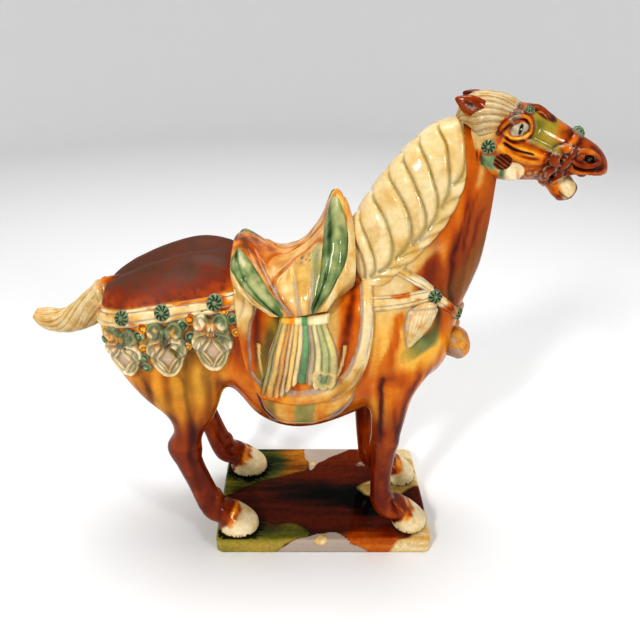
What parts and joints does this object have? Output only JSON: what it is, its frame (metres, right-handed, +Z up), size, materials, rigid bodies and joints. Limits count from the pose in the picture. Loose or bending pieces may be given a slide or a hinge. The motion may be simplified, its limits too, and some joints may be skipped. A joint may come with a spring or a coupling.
{
  "type": "glazed pottery horse figure",
  "caption": "Standing pottery horse with saddle, cloths and harness under a running three-colour glaze, set on a rectangular slab.",
  "frame": {"origin": "centre of the slab's underside", "axes": "+X towards the horse's head, +Z up, -Y towards the horse's right side, which the picture shows"},
  "size_m": [0.4939, 0.1486, 0.4528],
  "materials": {
    "slab_glaze": "glossy dark oxblood, amber and cream glaze run together, bare clay showing in patches",
    "horse_glaze": "glossy running amber, cream, red-brown and green lead glaze, grey bare clay left in the grooves"
  },
  "bodies": {
    "root": {"base_slab": "slab_glaze", "horse": "horse_glaze"}
  },
  "joints": []
}
